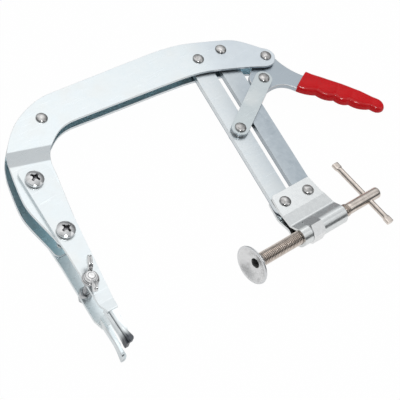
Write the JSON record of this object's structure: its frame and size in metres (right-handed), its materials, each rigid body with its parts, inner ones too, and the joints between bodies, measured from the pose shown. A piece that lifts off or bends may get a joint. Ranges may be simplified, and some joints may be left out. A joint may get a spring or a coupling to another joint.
{
  "type": "valve spring compressor",
  "caption": "Two-plate C-frame valve spring compressor with toggle lever and red grip, twin swing arms, T-handle screw with dished pad and a two-finger jaw set by a wing nut",
  "frame": {"origin": "centre of the pad's rim plane on the spindle axis, in the middle plane between the two frame plates", "axes": "+X along the spindle from the pad to the T-handle, +Y up to the frame's back, +Z out of the front plate"},
  "size_m": [0.3838, 0.2602, 0.043],
  "materials": {
    "frame_zinc": "pale blue bright zinc plating on pressed sheet steel",
    "strip_zinc": "pale blue bright zinc plating on folded sheet steel",
    "arm_zinc": "bright zinc plating on flat steel bar",
    "bracket_zinc": "bright zinc plating on folded sheet steel",
    "nut_zinc": "bright zinc plating",
    "rivet_steel": "polished bright plating",
    "screw_chrome": "polished bright plating",
    "bolt_zinc": "bright zinc plating",
    "spindle_nickel": "warm nickel plating on rolled thread",
    "pad_satin": "satin plated pressed cup",
    "grip_red": "glossy red dipped soft vinyl"
  },
  "bodies": {
    "frame": {"frame_plate_front": "frame_zinc", "frame_plate_back": "frame_zinc", "corner_spacer": "rivet_steel", "frame_rivets": "rivet_steel", "pivot_washers": "rivet_steel", "jaw_strip_front": "strip_zinc", "jaw_strip_back": "strip_zinc", "jaw_screws": "screw_chrome", "jaw_bolt": "bolt_zinc", "bolt_nut": "bolt_zinc"},
    "hand_lever": {"lever": "arm_zinc", "grip": "grip_red"},
    "main_arm": {"main_arm": "arm_zinc"},
    "guide_arm": {"guide_arm": "arm_zinc"},
    "toggle_links": {"link_front": "frame_zinc", "link_back": "frame_zinc", "link_rivets": "rivet_steel", "link_washers": "rivet_steel"},
    "bracket": {"screw_bracket": "bracket_zinc", "bracket_rivets": "rivet_steel", "captive_nut": "nut_zinc"},
    "pad": {"pad": "pad_satin"},
    "spindle": {"spindle": "spindle_nickel"},
    "t_bar": {"t_bar": "spindle_nickel"},
    "clamp_washer": {"clamp_washer": "bolt_zinc"},
    "wing_nut": {"wing_nut": "bolt_zinc"}
  },
  "joints": [
    {"name": "lever_swing", "type": "hinge", "parent": "frame", "child": "hand_lever", "pos_m": [0.167, 0.1695, 0], "axis": [0, 0, 1], "range_deg": [-7, 60]},
    {"name": "main_arm_swing", "type": "hinge", "parent": "frame", "child": "main_arm", "pos_m": [0.1059, 0.197, 0], "axis": [0, 0, 1], "range_deg": [-2, 16]},
    {"name": "guide_arm_swing", "type": "hinge", "parent": "frame", "child": "guide_arm", "pos_m": [0.1329, 0.196, 0], "axis": [0, 0, 1], "range_deg": [-2, 16]},
    {"name": "toggle_links_swing", "type": "hinge", "parent": "main_arm", "child": "toggle_links", "pos_m": [0.08684, 0.11519, 0], "axis": [0, 0, 1], "range_deg": [-23, 3]},
    {"name": "bracket_swing", "type": "hinge", "parent": "main_arm", "child": "bracket", "pos_m": [0.0677, 0.033, 0], "axis": [0, 0, 1], "range_deg": [-16, 2]},
    {"name": "pad_slide", "type": "slide", "parent": "bracket", "child": "pad", "axis": [1, 0, 0], "range_m": [-0.0245, 0.0385]},
    {"name": "spindle_turn", "type": "hinge", "parent": "pad", "child": "spindle", "pos_m": [0.0062, 0, 0], "axis": [1, 0, 0], "range_deg": [-5060, 7940]},
    {"name": "t_bar_slide", "type": "slide", "parent": "spindle", "child": "t_bar", "axis": [0, 1, 0], "range_m": [-0.031, 0.019]},
    {"name": "clamp_washer_slide", "type": "slide", "parent": "frame", "child": "clamp_washer", "axis": [0, 0, 1], "range_m": [0, 0.0031]},
    {"name": "wing_nut_turn", "type": "hinge", "parent": "clamp_washer", "child": "wing_nut", "pos_m": [-0.1336, 0.0534, 0.0133], "axis": [0, 0, 1], "range_deg": [0, 1080]}
  ],
  "couplings": [
    {"joint": "main_arm_swing", "follows": "lever_swing", "ratio": 0.2644},
    {"joint": "guide_arm_swing", "follows": "lever_swing", "ratio": 0.2644},
    {"joint": "bracket_swing", "follows": "lever_swing", "ratio": -0.2644},
    {"joint": "toggle_links_swing", "follows": "lever_swing", "ratio": -0.3807},
    {"joint": "spindle_turn", "follows": "pad_slide", "rad_per_m": 3590.4},
    {"joint": "clamp_washer_slide", "follows": "wing_nut_turn", "m_per_rad": 0.00015915}
  ]
}
